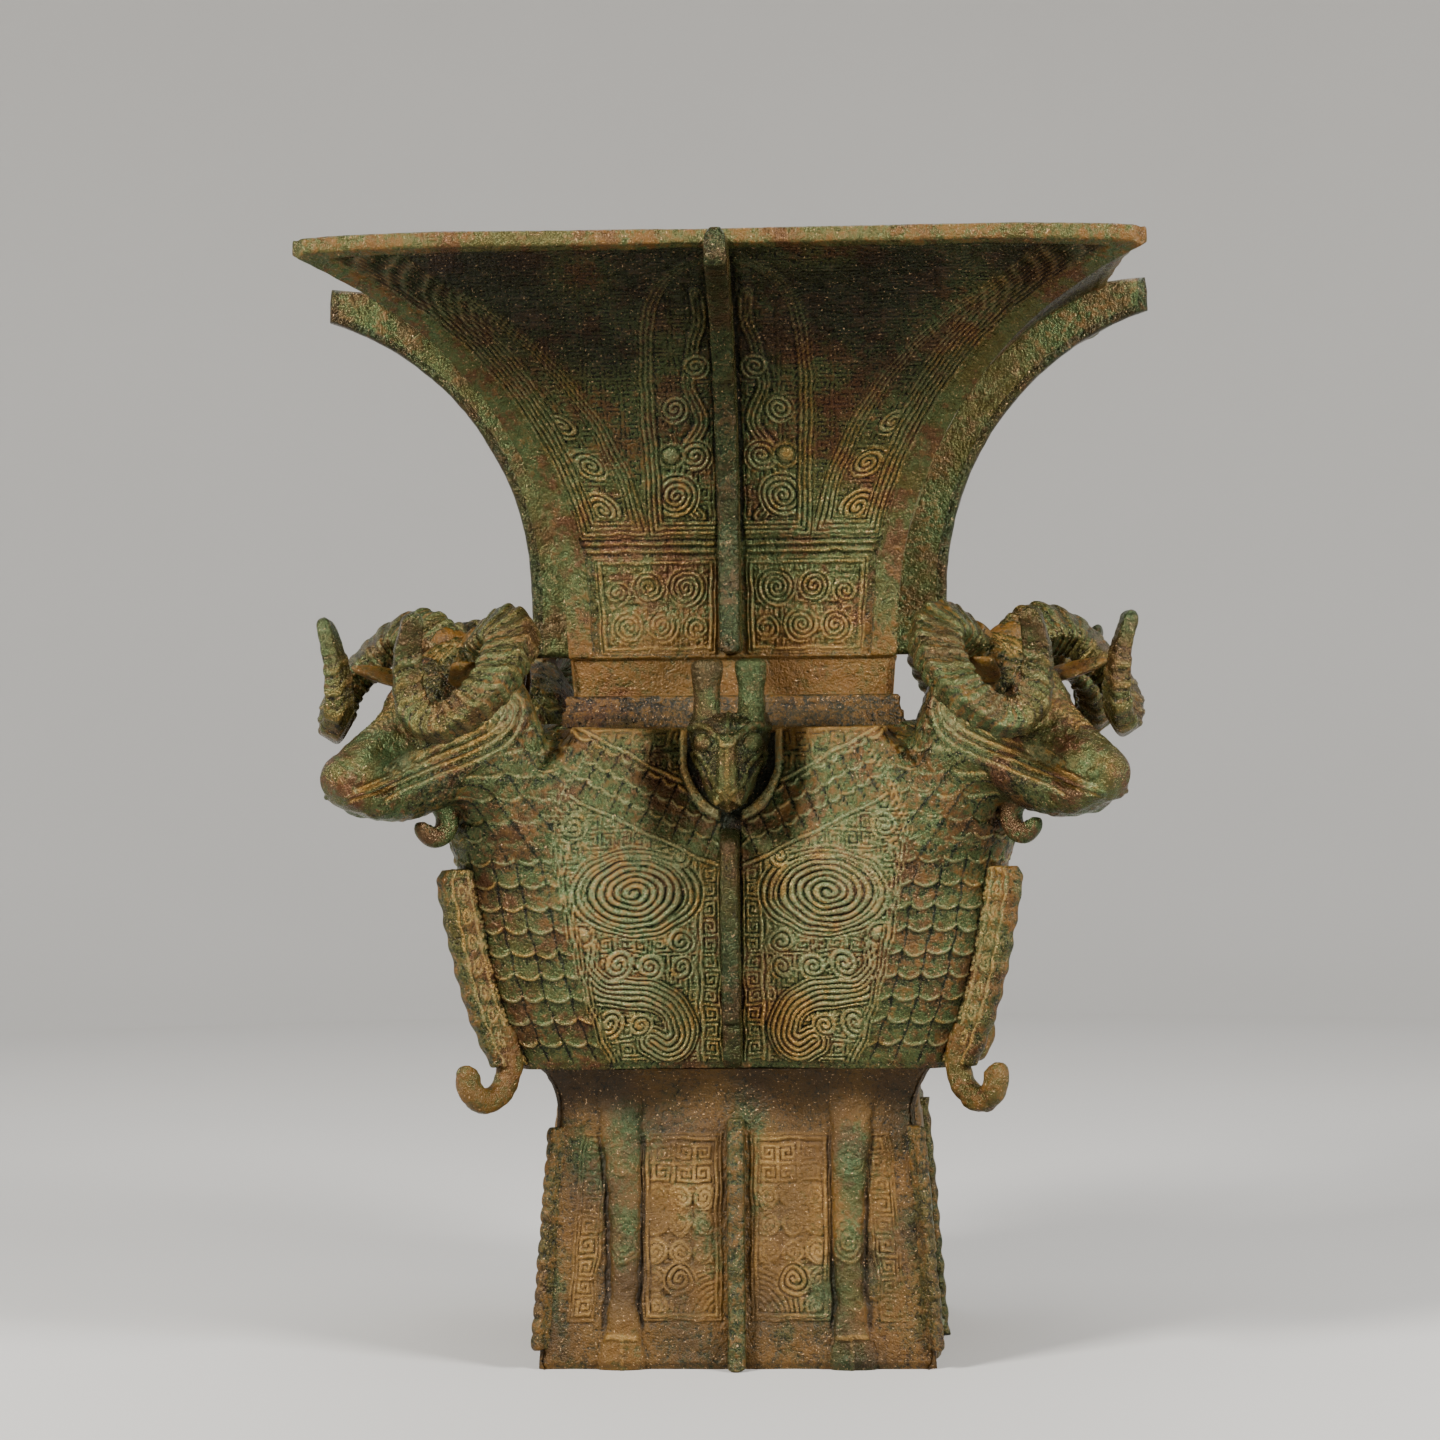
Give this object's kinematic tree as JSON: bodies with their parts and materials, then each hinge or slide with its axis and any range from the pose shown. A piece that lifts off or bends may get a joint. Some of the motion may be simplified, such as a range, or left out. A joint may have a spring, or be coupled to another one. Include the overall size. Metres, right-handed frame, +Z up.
{
  "type": "zun wine vessel",
  "caption": "Square bronze zun wine vessel with a wide flared mouth, bulging belly, hollow foot, plate flanges, ram heads at the corners and dragon heads on the shoulder.",
  "frame": {"origin": "middle of the underside of the foot, on the vessel's axis", "axes": "+Z up along the axis, -Y towards the front face, +X towards the right face"},
  "size_m": [0.258, 0.258, 0.333],
  "materials": {
    "green_bronze": "cast, green and ochre patina",
    "foot_bronze": "cast, ochre earth patina",
    "horn_bronze": "cast, ridged, dark green patina",
    "dark_bronze": "cast, dark glossy patina"
  },
  "bodies": {
    "root": {"foot": "foot_bronze", "belly": "green_bronze", "neck": "green_bronze", "ram_head_front_right": "green_bronze", "horn_left_front_right": "horn_bronze", "horn_right_front_right": "horn_bronze", "ram_head_back_right": "green_bronze", "horn_left_back_right": "horn_bronze", "horn_right_back_right": "horn_bronze", "ram_head_back_left": "green_bronze", "horn_left_back_left": "horn_bronze", "horn_right_back_left": "horn_bronze", "ram_head_front_left": "green_bronze", "horn_left_front_left": "horn_bronze", "horn_right_front_left": "horn_bronze", "dragon_head_front": "dark_bronze", "dragon_head_right": "dark_bronze", "dragon_head_back": "dark_bronze", "dragon_head_left": "dark_bronze", "neck_flange_front": "dark_bronze", "neck_flange_right": "dark_bronze", "neck_flange_back": "dark_bronze", "neck_flange_left": "dark_bronze", "belly_flange_front": "dark_bronze", "belly_flange_right": "dark_bronze", "belly_flange_back": "dark_bronze", "belly_flange_left": "dark_bronze", "chest_flange_front_right": "green_bronze", "chest_flange_back_right": "green_bronze", "chest_flange_back_left": "green_bronze", "chest_flange_front_left": "green_bronze", "foot_flange_front": "foot_bronze", "foot_flange_right": "foot_bronze", "foot_flange_back": "foot_bronze", "foot_flange_left": "foot_bronze", "foot_corner_flange_front_right": "foot_bronze", "foot_corner_flange_back_right": "foot_bronze", "foot_corner_flange_back_left": "foot_bronze", "foot_corner_flange_front_left": "foot_bronze"}
  },
  "joints": []
}
